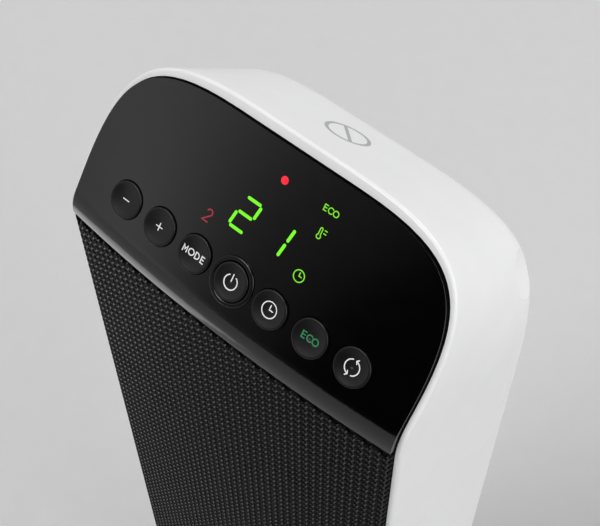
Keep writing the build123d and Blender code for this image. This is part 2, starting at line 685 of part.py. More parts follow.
SCROLL_R = 32.0
DUCT_FRONT, DUCT_BACK = -20.5, 42.5
with BuildPart() as air_duct:
    for low in (DUCT_LOW, DUCT_HIGH):
        with BuildSketch(Plane.XY.offset(low)):
            with Locations((0, (DUCT_FRONT + DUCT_BACK) / 2)):
                Rectangle(90, DUCT_BACK - DUCT_FRONT)
            with Locations((0, FAN_Y)):
                Circle(SHAFT_R + 5, mode=Mode.SUBTRACT)
        extrude(amount=DUCT_T)
    # scroll on one side of the impeller and tongue on the other
    with BuildSketch(Plane.XY.offset(DUCT_LOW)):
        with Locations((0, FAN_Y)):
            Circle(SCROLL_R + 2)
            Circle(SCROLL_R, mode=Mode.SUBTRACT)
        with Locations((SCROLL_R, FAN_Y)):
            Rectangle(2 * SCROLL_R - 10, 2 * SCROLL_R - 8, mode=Mode.INTERSECT)
        with Locations((-SCROLL_R - 1, DUCT_FRONT + 9)):
            Rectangle(2, 18)
    extrude(amount=DUCT_HIGH - DUCT_LOW)
finish(air_duct, "air_duct")

with BuildPart() as top_bush:
    with BuildSketch(Plane.XY.offset(DUCT_HIGH - 2)):
        with Locations((0, FAN_Y)):
            Circle(SHAFT_R + 4.9)
            Circle(SHAFT_R + 0.05, mode=Mode.SUBTRACT)
    extrude(amount=DUCT_T + 6)
    with BuildSketch(Plane.XY.offset(DUCT_HIGH + DUCT_T)):
        with Locations((0, FAN_Y)):
            Circle(SHAFT_R + 10)
            Circle(SHAFT_R + 0.05, mode=Mode.SUBTRACT)
    extrude(amount=2)
finish(top_bush, "top_bush")

with BuildPart() as power_board:
    with BuildSketch(Plane.YZ.offset(62)):
        with Locations((-4, 120)):
            Rectangle(64, 110)
    extrude(amount=1.6)
finish(power_board, "power_board")

with BuildPart() as tilt_switch:
    with BuildSketch(Plane.YZ.offset(62)):
        with Locations((-4, 95)):
            RectangleRounded(14, 16, 2)
    extrude(amount=-12)
finish(tilt_switch, "tilt_switch")

with BuildPart() as heater_relays:
    with BuildSketch(Plane.YZ.offset(62)):
        with Locations((-16, 150), (8, 150)):
            Rectangle(16, 20)
    extrude(amount=-15)
finish(heater_relays, "heater_relays")

# ---------------------------------------------------------------- swivel
FLOOR_T = 3.0
HUB_R, HUB_BORE_R = 27.9, 18.0
RING_GAP = 0.1
MODULE, GEAR_TEETH, PINION_TEETH = 1.5, 54, 14
GEAR_LOW, GEAR_HIGH = 24.0, 31.0
GEAR_GAP = 0.15  # spread of the gear centres, for backlash
gear_r, pinion_r = MODULE * GEAR_TEETH / 2, MODULE * PINION_TEETH / 2
PINION_Y = -(gear_r + pinion_r + GEAR_GAP)
PRESSURE = math.radians(20)

with BuildPart() as floor_plate:
    with BuildSketch(Plane.XY.offset(TOWER_BOTTOM)) as floor_plan:
        with BuildLine():
            ThreePointArc(
                (-PANEL_HALF, GRILLE_SIDE_Y), (0, GRILLE_MID_Y), (PANEL_HALF, GRILLE_SIDE_Y)
            )
            Polyline(
                (PANEL_HALF, GRILLE_SIDE_Y),
                (PANEL_HALF, TOWER_BACK - WALL - LEDGE_T - 0.5),
                (-PANEL_HALF, TOWER_BACK - WALL - LEDGE_T - 0.5),
                (-PANEL_HALF, GRILLE_SIDE_Y),
            )
        make_face()
        fillet(floor_plan.vertices().group_by(Axis.Y)[-1], REAR_ROUND - WALL)
        Circle(HUB_R + CLEAR, mode=Mode.SUBTRACT)
    extrude(amount=FLOOR_T)
    with BuildSketch(Plane.XY.offset(TOWER_BOTTOM)) as front_lip:
        bowed_face(PANEL_HALF, GRILLE_SIDE_Y, GRILLE_MID_Y, FRAME_FRONT)
    extrude(amount=GRILLE_BOTTOM - TOWER_BOTTOM)
finish(floor_plate, "floor_plate")

with BuildPart() as swivel_hub:
    with BuildSketch(Plane.XY.offset(GEAR_HIGH)):
        Circle(HUB_R)
    extrude(amount=TOWER_BOTTOM + FLOOR_T - GEAR_HIGH)
    with BuildSketch(Plane.XY.offset(TOWER_BOTTOM + FLOOR_T)):
        Circle(HUB_R + 9)
    extrude(amount=3)
    with BuildSketch(Plane.XY.offset(GEAR_HIGH)):
        Circle(HUB_BORE_R)
    extrude(amount=20, mode=Mode.SUBTRACT)
    with BuildSketch(Plane.XY.offset(GEAR_HIGH)):
        with PolarLocations(23, 4):
            Circle(SCREW_R + CLEAR)
    extrude(amount=9, mode=Mode.SUBTRACT)
finish(swivel_hub, "swivel_hub")


def involute(base_r, at_r):
    """Angle that an involute has swept from its base circle to a radius."""
    along = math.acos(base_r / at_r)
    return math.tan(along) - along


def tooth_outline(teeth, turned):
    """Corner points of one thin involute tooth, from its root round to its root."""
    pitch_r = MODULE * teeth / 2
    base_r = pitch_r * math.cos(PRESSURE)
    root_r, tip_r = pitch_r - 1.25 * MODULE, pitch_r + 0.92 * MODULE
    half = math.pi / (2 * teeth) - 0.06 / pitch_r
    flank = [max(base_r, root_r) + share * (tip_r - max(base_r, root_r)) for share in (0, 0.33, 0.67, 1)]
    lead = half + involute(base_r, pitch_r)
    first = [(root_r - 0.4, lead)] + [(r, lead - involute(base_r, r)) for r in flank]
    points = first + [(r, -angle) for r, angle in reversed(first)]
    return [(r * math.cos(turned + angle), r * math.sin(turned + angle)) for r, angle in points]


def gear_face(teeth, first_angle, count):
    """Gear centred on the current sketch, with count teeth on either side of first_angle."""
    Circle(MODULE * teeth / 2 - 1.25 * MODULE)
    for index in range(count):
        turned = first_angle + (index - (count - 1) / 2) * 2 * math.pi / teeth
        with BuildLine() as outline:
            Polyline(*tooth_outline(teeth, turned), close=True)
        make_face(outline.edges())


with BuildPart() as swivel_gear:
    with BuildSketch(Plane.XY.offset(GEAR_LOW)):
        gear_face(GEAR_TEETH, -math.pi / 2, 19)
        Circle(HUB_BORE_R, mode=Mode.SUBTRACT)
        with PolarLocations(23, 4):
            Circle(SCREW_R + CLEAR, mode=Mode.SUBTRACT)
    extrude(amount=GEAR_HIGH - GEAR_LOW)
finish(swivel_gear, "swivel_gear")

with BuildPart() as gear_screws:
    with BuildSketch(Plane.XY.offset(GEAR_LOW)):
        with PolarLocations(23, 4):
            Circle(SCREW_R)
    extrude(amount=14)
    with BuildSketch(Plane.XY.offset(GEAR_LOW)):
        with PolarLocations(23, 4):
            Circle(SCREW_HEAD_R)
    extrude(amount=-1.8)
finish(gear_screws, "gear_screws")

SWING_MOTOR_R, SWING_MOTOR_LOW, SWING_MOTOR_HIGH = 24.0, 6.0, 20.0
with BuildPart() as drive_pinion:
    with BuildSketch(Plane((0, PINION_Y, GEAR_LOW))):
        gear_face(PINION_TEETH, math.pi / 2, PINION_TEETH)
    extrude(amount=GEAR_HIGH - 1 - GEAR_LOW)
    with BuildSketch(Plane((0, PINION_Y, SWING_MOTOR_HIGH - 8))):
        Circle(2.5)
    extrude(amount=GEAR_LOW - SWING_MOTOR_HIGH + 8)
finish(drive_pinion, "drive_pinion")

with BuildPart() as swing_motor:
    with BuildSketch(Plane((0, PINION_Y, SWING_MOTOR_LOW))):
        Circle(SWING_MOTOR_R)
    extrude(amount=SWING_MOTOR_HIGH - SWING_MOTOR_LOW)
    with BuildSketch(Plane((0, PINION_Y, SWING_MOTOR_HIGH - 8.5))):
        Circle(2.55)
    extrude(amount=20, mode=Mode.SUBTRACT)
finish(swing_motor, "swing_motor")

# ---------------------------------------------------------------- base
BASE_WALL, BASE_ROUND = 2.5, 14.0
PLATE_LOW, PLATE_HIGH, PLATE_R = FOOT_H, 5.0, BASE_R - BASE_WALL - 0.4
POST_RING, POST_R = 92.0, 4.5
post_count = 4

with BuildPart() as base_cover:
    with BuildSketch(Plane.XY.offset(PLATE_LOW)):
        Circle(BASE_R)
    extrude(amount=BASE_TOP - PLATE_LOW)
    fillet(base_cover.edges().group_by(Axis.Z)[-1], BASE_ROUND)
    with BuildSketch(Plane.XY.offset(PLATE_LOW)):
        Circle(BASE_R - BASE_WALL)
    extrude(amount=BASE_TOP - BASE_WALL - PLATE_LOW - 6, mode=Mode.SUBTRACT)
    with BuildSketch(Plane.XY.offset(PLATE_LOW)):
        Circle(BASE_R - BASE_ROUND)
    extrude(amount=BASE_TOP - BASE_WALL - PLATE_LOW, mode=Mode.SUBTRACT)
    with BuildSketch(Plane.XY.offset(PLATE_HIGH)):
        with PolarLocations(POST_RING, post_count, 45):
            Circle(POST_R)
    extrude(amount=BASE_TOP - BASE_WALL - PLATE_HIGH)
    with BuildSketch(Plane.XY):
        Circle(HUB_R + 0.08)
    extrude(amount=BASE_TOP, mode=Mode.SUBTRACT)
    with BuildSketch(Plane.XY.offset(PLATE_HIGH)):
        with PolarLocations(POST_RING, post_count, 45):
            Circle(SCREW_R + CLEAR)
    extrude(amount=14, mode=Mode.SUBTRACT)
finish(base_cover, "base_cover")

with BuildPart() as base_plate:
    with BuildSketch(Plane.XY.offset(PLATE_LOW)):
        Circle(PLATE_R)
    extrude(amount=PLATE_HIGH - PLATE_LOW)
    with BuildSketch(Plane.XY):
        with PolarLocations(POST_RING, post_count, 45):
            Circle(SCREW_R + CLEAR)
    extrude(amount=PLATE_HIGH, mode=Mode.SUBTRACT)
    with BuildSketch(Plane.XY.offset(PLATE_LOW)):
        with PolarLocations(POST_RING, post_count, 45):
            Circle(SCREW_HEAD_R + CLEAR)
    extrude(amount=1.4, mode=Mode.SUBTRACT)
finish(base_plate, "base_plate")

with BuildPart() as base_screws:
    with BuildSketch(Plane.XY.offset(PLATE_LOW + 0.2)):
        with PolarLocations(POST_RING, post_count, 45):
            Circle(SCREW_HEAD_R)
    extrude(amount=1.2)
    with BuildSketch(Plane.XY.offset(PLATE_LOW + 0.2)):
        with PolarLocations(POST_RING, post_count, 45):
            Circle(SCREW_R)
    extrude(amount=12)
finish(base_screws, "base_screws")

with BuildPart() as base_weight:
    with BuildSketch(Plane.XY.offset(PLATE_HIGH)):
        Circle(84)
        Circle(52, mode=Mode.SUBTRACT)
        with Locations((0, -84)):
            Rectangle(70, 120, mode=Mode.SUBTRACT)
    extrude(amount=8)
finish(base_weight, "base_weight")

with BuildPart() as rubber_feet:
    with BuildSketch(Plane.XY):
        with PolarLocations(92, 4):
            Circle(9)
    extrude(amount=FOOT_H)
finish(rubber_feet, "rubber_feet")

with BuildPart() as swivel_washer:
    with BuildSketch(Plane.XY.offset(BASE_TOP)):
        Circle(62)
        Circle(34, mode=Mode.SUBTRACT)
    extrude(amount=TOWER_BOTTOM - BASE_TOP - RING_GAP)
finish(swivel_washer, "swivel_washer")
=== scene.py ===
import math

import bpy
from mathutils import Euler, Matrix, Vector


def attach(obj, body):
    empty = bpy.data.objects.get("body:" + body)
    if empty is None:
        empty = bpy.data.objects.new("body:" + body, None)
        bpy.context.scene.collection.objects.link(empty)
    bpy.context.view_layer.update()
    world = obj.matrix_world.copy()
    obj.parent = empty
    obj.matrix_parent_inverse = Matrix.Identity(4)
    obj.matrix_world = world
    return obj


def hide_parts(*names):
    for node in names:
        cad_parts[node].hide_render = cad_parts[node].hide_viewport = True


# Looks of the oscillating ceramic tower heater, in metres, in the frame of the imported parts.

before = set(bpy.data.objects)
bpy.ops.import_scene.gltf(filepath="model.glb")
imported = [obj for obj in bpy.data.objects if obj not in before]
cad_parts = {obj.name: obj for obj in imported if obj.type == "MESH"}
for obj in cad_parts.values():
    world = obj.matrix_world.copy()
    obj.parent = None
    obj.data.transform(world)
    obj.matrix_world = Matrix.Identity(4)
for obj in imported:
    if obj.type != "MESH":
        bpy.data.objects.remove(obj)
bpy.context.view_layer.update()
MM = 0.001

# ---------------------------------------------------------------- places on the head
LEAN, SLOPE = math.radians(40), math.radians(37)
ROW = Vector((0, -45, 582)) * MM  # middle of the row of buttons
PANEL_UP = Vector((0, math.sin(LEAN), math.cos(LEAN)))
PANEL_OUT = Vector((0, -math.cos(LEAN), math.sin(LEAN)))
PANEL_TOP, CHIN = 58.6, -13.0
BOW, BOW_HALF = 3.9, 88.0
BUTTON_PITCH = 20.0
DISH_R, DISH_HIGH = 42.0, 0.6  # the buttons' hollow faces
ACROSS = Vector((1, 0, 0))


def on_panel(across, up, rise):
    """Point on the bowed panel face, in millimetres across and up from the button row."""
    share = (PANEL_TOP - up) / (PANEL_TOP - CHIN)
    bow = BOW * (across / BOW_HALF) ** 2 * share
    return ROW + (PANEL_UP * up + Vector((across, bow, 0)) + PANEL_OUT * rise) * MM


def on_button(index):
    """Function giving a point on the hollow face of one button of the row."""
    middle = on_panel(BUTTON_PITCH * (index - 3), 0, 0)

    def place(across, up, rise):
        height = (across**2 + up**2) / (2 * DISH_R) + DISH_HIGH + rise
        return middle + (ACROSS * across + PANEL_UP * up + PANEL_OUT * height) * MM

    return place


# ---------------------------------------------------------------- materials
def socket(node, name, value):
    node.inputs[name].default_value = value


def noise(tree, where, scale, detail=2.0):
    node = tree.nodes.new("ShaderNodeTexNoise")
    socket(node, "Scale", scale)
    socket(node, "Detail", detail)
    tree.links.new(where, node.inputs["Vector"])
    return node.outputs["Fac"]


def spread(tree, value, low, high):
    """Map a noise's middle range onto low to high."""
    node = tree.nodes.new("ShaderNodeMapRange")
    socket(node, "From Min", 0.3)
    socket(node, "From Max", 0.7)
    socket(node, "To Min", low)
    socket(node, "To Max", high)
    tree.links.new(value, node.inputs["Value"])
    return node.outputs["Result"]


def blended(tree, share, first, second):
    node = tree.nodes.new("ShaderNodeMix")
    node.data_type = "RGBA"
    tree.links.new(share, node.inputs["Factor"])
    node.inputs["A"].default_value = (*first, 1)
    node.inputs["B"].default_value = (*second, 1)
    return node.outputs["Result"]


def bumped(tree, height, shader, deep, strength):
    node = tree.nodes.new("ShaderNodeBump")
    socket(node, "Distance", deep)
    socket(node, "Strength", strength)
    tree.links.new(height, node.inputs["Height"])
    tree.links.new(node.outputs["Normal"], shader.inputs["Normal"])


def surface(name, color, rough, tone=0.06, grain=1500.0, deep=0.02, strength=0.3,
            metal=0.0, stretch=(1, 1, 1), level=0.5):
    """Solid material with mottled colour, uneven polish and a fine moulded or brushed grain."""
    material = bpy.data.materials.new(name)
    material.use_nodes = True
    tree = material.node_tree
    shader = tree.nodes["Principled BSDF"]
    where = tree.nodes.new("ShaderNodeTexCoord").outputs["Object"]
    fitted = tree.nodes.new("ShaderNodeMapping")
    socket(fitted, "Scale", stretch)
    tree.links.new(where, fitted.inputs["Vector"])
    cloud = spread(tree, noise(tree, where, 45.0, 4.0), 0.0, 1.0)
    dark = [value * (1 - tone) for value in color]
    light = [min(1.0, value * (1 + tone)) for value in color]
    tree.links.new(blended(tree, cloud, dark, light), shader.inputs["Base Color"])
    polish = spread(tree, noise(tree, where, 130.0, 3.0), rough * 0.9, min(1.0, rough * 1.1))
    tree.links.new(polish, shader.inputs["Roughness"])
    bumped(tree, noise(tree, fitted.outputs["Vector"], grain), shader, deep * MM, strength)
    socket(shader, "Metallic", metal)
    socket(shader, "Specular IOR Level", level)
    return material


def lit(name, color, strength, body):
    """Light shining through the dark window, its tone a little uneven at random."""
    material = bpy.data.materials.new(name)
    material.use_nodes = True
    tree = material.node_tree
    shader = tree.nodes["Principled BSDF"]
    where = tree.nodes.new("ShaderNodeTexCoord").outputs["Object"]
    cloud = spread(tree, noise(tree, where, 700.0, 2.0), 0.0, 1.0)
    deep = [value * 0.88 for value in color]
    tree.links.new(blended(tree, cloud, deep, color), shader.inputs["Emission Color"])
    socket(shader, "Emission Strength", strength)
    socket(shader, "Base Color", (*body, 1))
    socket(shader, "Roughness", 0.35)
    return material


WHITE = surface("white_shell", (0.79, 0.79, 0.795), 0.34, tone=0.015, grain=2600, deep=0.006)
BADGE = surface("badge_grey", (0.40, 0.40, 0.41), 0.45, tone=0.05, grain=3000, deep=0.006)
PIANO = surface("piano_black", (0.0006, 0.0006, 0.0006), 0.13, tone=0.1, grain=500, deep=0.003,
                strength=0.1, level=0.5)
KEY = surface("key_black", (0.003, 0.003, 0.0031), 0.32, tone=0.1, grain=5000, deep=0.008,
              level=0.32)
MESH = surface("mesh_black", (0.0065, 0.0065, 0.0066), 0.26, tone=0.15, grain=4000, deep=0.01,
               level=0.13)
INNER = surface("inner_black", (0.003, 0.003, 0.0031), 0.6, tone=0.15, grain=1800, deep=0.03,
                level=0.15)
REAR = surface("rear_black", (0.022, 0.022, 0.023), 0.48, tone=0.12, grain=2200, deep=0.03)
BASE = surface("base_black", (0.016, 0.016, 0.017), 0.33, tone=0.12, grain=2500, deep=0.012)
RUBBER = surface("rubber", (0.02, 0.02, 0.02), 0.8, tone=0.2, grain=2500, deep=0.04)
SILICONE = surface("silicone", (0.12, 0.12, 0.13), 0.6, tone=0.1, grain=1500, deep=0.02)
BOARD = surface("circuit_board", (0.02, 0.11, 0.04), 0.4, tone=0.25, grain=900, deep=0.03)
SMOKED = surface("smoked_display", (0.01, 0.01, 0.01), 0.12, tone=0.1, grain=800, deep=0.003)
RESIN = surface("heat_resin", (0.10, 0.06, 0.035), 0.55, tone=0.2, grain=1600, deep=0.04)
FINS = surface("fin_aluminium", (0.62, 0.63, 0.64), 0.34, tone=0.1, grain=1500, metal=1.0,
               stretch=(0.1, 1, 1))
STONE = surface("ptc_ceramic", (0.40, 0.33, 0.28), 0.75, tone=0.15, grain=1800, deep=0.05)
SCREW = surface("screw_steel", (0.45, 0.45, 0.46), 0.3, tone=0.1, grain=2600, metal=1.0)
SHAFT = surface("shaft_steel", (0.55, 0.55, 0.56), 0.25, tone=0.08, grain=2600, metal=1.0,
                stretch=(1, 1, 0.1))
CAN = surface("motor_steel", (0.42, 0.43, 0.44), 0.36, tone=0.14, grain=1200, metal=1.0)
BRONZE = surface("bronze", (0.55, 0.36, 0.16), 0.35, tone=0.15, grain=2000, metal=1.0)
ACETAL = surface("acetal", (0.62, 0.62, 0.59), 0.42, tone=0.04, grain=2000, deep=0.012)
IRON = surface("cast_iron", (0.07, 0.07, 0.07), 0.7, tone=0.3, grain=700, deep=0.15)
INK = surface("white_print", (0.85, 0.85, 0.85), 0.5, tone=0.05, grain=6000, deep=0.003)
GREEN_INK = surface("green_print", (0.012, 0.21, 0.075), 0.5, tone=0.08, grain=6000, deep=0.003)
GREEN_LIGHT = lit("green_light", (0.19, 1.0, 0.002), 1.0, (0.02, 0.05, 0.01))
LIME_LIGHT = lit("lime_light", (0.26, 1.0, 0.004), 0.8, (0.02, 0.05, 0.01))
RED_LIGHT = lit("red_light", (1.0, 0.008, 0.035), 1.0, (0.05, 0.01, 0.01))
DIM_LIGHT = lit("dim_light", (0.50, 0.018, 0.055), 0.7, (0.03, 0.005, 0.005))


def netting():
    """Black filter net: crossed threads with holes between them, drawn as relief and tone."""
    material = surface("filter_net", (0.03, 0.03, 0.03), 0.7, tone=0.3)
    tree = material.node_tree
    shader = tree.nodes["Principled BSDF"]
    where = tree.nodes.new("ShaderNodeTexCoord").outputs["Object"]
    heights = []
    for axis in ("X", "Z"):
        wave = tree.nodes.new("ShaderNodeTexWave")
        wave.bands_direction = axis
        socket(wave, "Scale", 190.0)
        tree.links.new(where, wave.inputs["Vector"])
        heights.append(wave.outputs["Fac"])
    top = tree.nodes.new("ShaderNodeMath")
    top.operation = "MAXIMUM"
    tree.links.new(heights[0], top.inputs[0])
    tree.links.new(heights[1], top.inputs[1])
    thread = blended(tree, top.outputs["Value"], (0.002, 0.002, 0.002), (0.06, 0.06, 0.062))
    tree.links.new(thread, shader.inputs["Base Color"])
    bumped(tree, top.outputs["Value"], shader, 0.3 * MM, 0.8)
    return material


NET = netting()

dressed = {
    "body_shell": WHITE, "rear_cover": WHITE, "top_badge": BADGE,
    "control_panel": PIANO, "power_button_collar": PIANO,
    "keypad_mat": SILICONE, "control_board": BOARD, "board_screws": SCREW,
    "display_module": SMOKED, "front_grille": MESH, "front_frame": INNER,
    "outlet_guard": INNER, "rear_screws": SCREW, "filter_cover": WHITE,
    "dust_filter": NET, "rocker_bezel": REAR, "power_rocker": KEY, "cord_inlet": REAR,
    "heater_frame": RESIN, "heater_fins": FINS, "ptc_stones": STONE,
    "thermal_cutout": CAN, "fan_impeller": INNER, "fan_shaft": SHAFT, "fan_motor": CAN,
    "motor_plate": CAN, "motor_mounts": RUBBER, "air_duct": INNER, "top_bush": BRONZE,
    "power_board": BOARD, "tilt_switch": INNER, "heater_relays": INNER,
    "floor_plate": INNER, "swivel_hub": ACETAL, "swivel_gear": ACETAL,
    "gear_screws": SCREW, "drive_pinion": ACETAL, "swing_motor": CAN,
    "base_cover": BASE, "base_plate": BASE, "base_screws": SCREW, "base_weight": IRON,
    "rubber_feet": RUBBER, "swivel_washer": INNER,
}
for node_name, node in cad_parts.items():
    node.data.materials.clear()
    node.data.materials.append(dressed.get(node_name, KEY))


def soften(node_name, width, steps=3):
    """Round the crisp edges of a moulded part."""
    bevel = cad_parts[node_name].modifiers.new("soft_edge", "BEVEL")
    bevel.width = width * MM
    bevel.segments = steps
    bevel.limit_method = "ANGLE"
    bevel.angle_limit = math.radians(40)


# ---------------------------------------------------------------- printed and lit marks
CAP_ANGLES = (30, 55, 78)  # steps round the end of a stroke
STROKE_STEP = 0.004  # keeps crossing strokes of a mark at heights of their own


def circle(middle, radius, start=0.0, end=360.0, steps=32):
    """Points along an arc, in degrees anticlockwise from the right."""
    angles = [math.radians(start + (end - start) * index / steps) for index in range(steps + 1)]
    across, up = middle
    return [(across + radius * math.cos(a), up + radius * math.sin(a)) for a in angles]


def rails(points, width):
    """Pairs of edge points along a mitred line with rounded ends."""
    line = [Vector(point) for point in points]
    pairs = []
    for index, point in enumerate(line):
        before = (point - line[index - 1]).normalized() if index else None
        after = (line[index + 1] - point).normalized() if index + 1 < len(line) else None
        along = ((before or after) + (after or before)).normalized()
        aside = Vector((-along.y, along.x))
        square = Vector((-(after or before).y, (after or before).x))
        reach = min(width / 2 / max(0.3, aside.dot(square)), width)
        pairs.append((point + aside * reach, point - aside * reach))
    first, last = (line[0] - line[1]).normalized(), (line[-1] - line[-2]).normalized()
    for angle in CAP_ANGLES:
        push = width / 2 * math.sin(math.radians(angle))
        half = width / 2 * math.cos(math.radians(angle))
        start, end = line[0] + first * push, line[-1] + last * push
        aside = Vector((first.y, -first.x)) * half
        pairs.insert(0, (start + aside, start - aside))
        aside = Vector((-last.y, last.x)) * half
        pairs.append((end + aside, end - aside))
    return pairs


def mark(name, strokes, width, place, material, body, slot, rise=0.05):
    """Raised strokes on a curved face, as one piece that rides on a body."""
    points, faces = [], []
    for order, stroke in enumerate(strokes):
        high = rise + STROKE_STEP * order
        start = len(points)
        pairs = rails(stroke, width)
        for left, right in pairs:
            points += [place(*left, high), place(*right, high)]
            points += [place(*right, -rise), place(*left, -rise)]
        for index in range(len(pairs) - 1):
            near = start + 4 * index
            for side in range(4):
                other = (side + 1) % 4
                faces.append((near + side, near + other, near + 4 + other, near + 4 + side))
        end = len(points) - 4
        faces += [(start + 3, start + 2, start + 1, start), (end, end + 1, end + 2, end + 3)]
    piece = new_piece(name, points, faces, material, body)
    return piece


def new_piece(name, points, faces, material, body):
    mesh = bpy.data.meshes.new(name)
    mesh.from_pydata([tuple(point) for point in points], [], faces)
    mesh.update()
    mesh.materials.append(material)
    piece = bpy.data.objects.new(name, mesh)
    bpy.context.scene.collection.objects.link(piece)
    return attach(piece, body)


def letters(text, middle, height, pitch):
    """Plain upright stroke letters, centred on a point."""
    shapes = {
        "M": [[(-0.34, 0), (-0.34, 1), (0, 0.36), (0.34, 1), (0.34, 0)]],
        "O": [circle((0, 0.5), 0.5, 90, 450, 28)],
        "D": [[(-0.32, 0), (-0.32, 1)],
              [(-0.32, 1), (-0.08, 1)] + circle((-0.08, 0.5), 0.5, 80, -80, 14) + [(-0.32, 0)]],
        "E": [[(0.28, 1), (-0.28, 1), (-0.28, 0), (0.28, 0)], [(-0.28, 0.52), (0.2, 0.52)]],
        "C": [circle((0.04, 0.5), 0.5, 48, 312, 22)],
    }
    strokes = []
    start = -(len(text) - 1) / 2
    for index, letter in enumerate(text):
        at = middle[0] + (start + index) * pitch
        for shape in shapes[letter]:
            strokes.append([(at + u * height, middle[1] + (v - 0.5) * height) for u, v in shape])
    return strokes


def clock(middle, radius):
    """Dial with two hands."""
    across, up = middle
    hands = [(across, up + radius * 0.6), (across, up), (across + radius * 0.5, up)]
    return [circle(middle, radius), hands]


def arrow_ring(radius):
    """Two curved arrows chasing each other round a ring."""
    strokes = []
    for start, end in ((108, 260), (288, 440)):
        strokes.append(circle((0, 0), radius, start, end, 18))
        tip = math.radians(end)
        at = Vector((math.cos(tip), math.sin(tip))) * radius
        for swing in (-145, -35):
            away = math.radians(end + swing)
            barb = at + Vector((math.cos(away), math.sin(away))) * radius * 0.36
            strokes.append([tuple(at), tuple(barb)])
    return strokes


WHITE_SLOT, GREEN_SLOT = "symbol_white", "symbol_green"
key_marks = {
    "minus": ([[(-1.6, 0), (1.6, 0)]], 0.42, INK, WHITE_SLOT),
    "plus": ([[(-1.6, 0), (1.6, 0)], [(0, -1.6), (0, 1.6)]], 0.42, INK, WHITE_SLOT),
    "mode": (letters("MODE", (0, 0), 2.65, 3.1), 0.48, INK, WHITE_SLOT),
    "power": ([circle((0, -0.2), 3.1, 122, 418, 36), [(0, 0.3), (0, 3.3)]], 0.5, INK, WHITE_SLOT),
    "timer": (clock((0, 0), 3.35), 0.46, INK, WHITE_SLOT),
    "eco": (letters("ECO", (0, 0), 2.7, 2.8), 0.55, GREEN_INK, GREEN_SLOT),
    "swing": (arrow_ring(3.2), 0.46, INK, WHITE_SLOT),
}
for key_index, (key_name, drawn) in enumerate(key_marks.items()):
    key_strokes, key_width, key_ink, key_slot = drawn
    mark(f"mark_{key_name}", key_strokes, key_width, on_button(key_index), key_ink,
         f"button_{key_name}", key_slot)

SLANT = math.tan(math.radians(10))


def digit(corner, size, lit_bars, gap):
    """Bars of a slanted seven-segment digit that are lit."""
    wide, tall = size
    ends = {
        "a": ((0, 2), (1, 2)), "b": ((1, 1), (1, 2)), "c": ((1, 0), (1, 1)),
        "d": ((0, 0), (1, 0)), "e": ((0, 0), (0, 1)), "f": ((0, 1), (0, 2)), "g": ((0, 1), (1, 1)),
    }
    strokes = []
    for bar in lit_bars:
        first, last = [
            Vector((u * wide + v * tall / 2 * SLANT, v * tall / 2)) for u, v in ends[bar]
        ]
        along = (last - first).normalized() * gap
        strokes.append([tuple(p + Vector(corner)) for p in (first + along, last - along)])
    return strokes


LED_GREEN, LED_RED = "led_green", "led_red"
mark("digit_tens", digit((-12.3, 19.0), (7.9, 13.5), "abged", 1.12), 1.35, on_panel,
     GREEN_LIGHT, "tower", LED_GREEN)
mark("digit_units", digit((4.6, 19.3), (7.9, 13.5), "bc", 1.12), 1.35, on_panel,
     GREEN_LIGHT, "tower", LED_GREEN)
level_two = circle((-21.7, 18.0), 1.3, 160, -35, 12) + [(-24.0, 14.0), (-21.2, 14.0)]
mark("digit_level", [level_two], 0.6, on_panel, DIM_LIGHT, "tower", LED_RED)
mark("icon_eco", letters("ECO", (24.2, 46.5), 2.3, 2.45), 0.42, on_panel,
     LIME_LIGHT, "tower", LED_GREEN)
mark("icon_clock", clock((24.4, 18.1), 2.4), 0.45, on_panel, LIME_LIGHT, "tower", LED_GREEN)
thermometer = [
    circle((24.2, 35.6), 0.9, 125, 415, 20),
    [(23.7, 36.4), (23.7, 38.7)] + circle((24.2, 38.7), 0.5, 170, 10, 8) + [(24.7, 36.4)],
    [(25.7, 38.9), (26.7, 38.9)],
    [(25.7, 37.6), (26.7, 37.6)],
]
mark("icon_thermometer", thermometer, 0.42, on_panel, LIME_LIGHT, "tower", LED_GREEN)
mark("lamp_heat", [circle((1.7, 46.3), 0.85, 0, 360, 24)], 1.66, on_panel,
     RED_LIGHT, "tower", LED_RED)
mark("pip", [circle((0.8, -12.2), 0.25, 60, 240, 10)], 0.35, on_panel, KEY, "tower",
     "gloss_black", rise=0.25)

# ---------------------------------------------------------------- front mesh
GRILLE_HALF, SIDE_Y, MIDDLE_Y, BACK_Y = 87.0, -53.3, -57.1, -44.2
GRILLE_LOW, GRILLE_HIGH = 42.0, 560.6
CORNER_R = 2.0
CELL = 4.43  # from hole to hole
CELL_STEP = CELL * math.sqrt(3) / 2  # from one column of holes to the next
MESH_T, RIM_DEPTH, RIM_WIDTH = 1.2, 0.9, 2.4
# distance of each ring from the hole's centre as a share of the cell, and its depth
RINGS = [(0.90, 0.10), (0.80, 0.36), (0.75, 0.95)]
AT_CORNER, AT_SIDE = 0.95, 1.03  # rings are drawn in at the corners and out at the sides
BANDS = 5


def grille_outline():
    """Fine points along the plan of the mesh, from its left return over the front to the right."""
    sagitta = SIDE_Y - MIDDLE_Y
    radius = (GRILLE_HALF**2 + sagitta**2) / (2 * sagitta)
    centre_y = MIDDLE_Y + radius
    # the corner round touches the front arc from inside and the straight return
    corner_x = GRILLE_HALF - CORNER_R
    corner_y = centre_y - math.sqrt((radius - CORNER_R) ** 2 - corner_x**2)
    reach = math.asin(corner_x / (radius - CORNER_R))
    front_steps, round_steps = 120, 12
    right = []
    for index in range(front_steps + 1):
        angle = reach * index / front_steps
        right.append((radius * math.sin(angle), centre_y - radius * math.cos(angle)))
    for index in range(1, round_steps + 1):
        angle = reach + (math.pi / 2 - reach) * index / round_steps
        right.append((corner_x + CORNER_R * math.sin(angle), corner_y - CORNER_R * math.cos(angle)))
    right.append((GRILLE_HALF, BACK_Y))
    left = [(-x, y) for x, y in reversed(right[1:])]
    return left + right


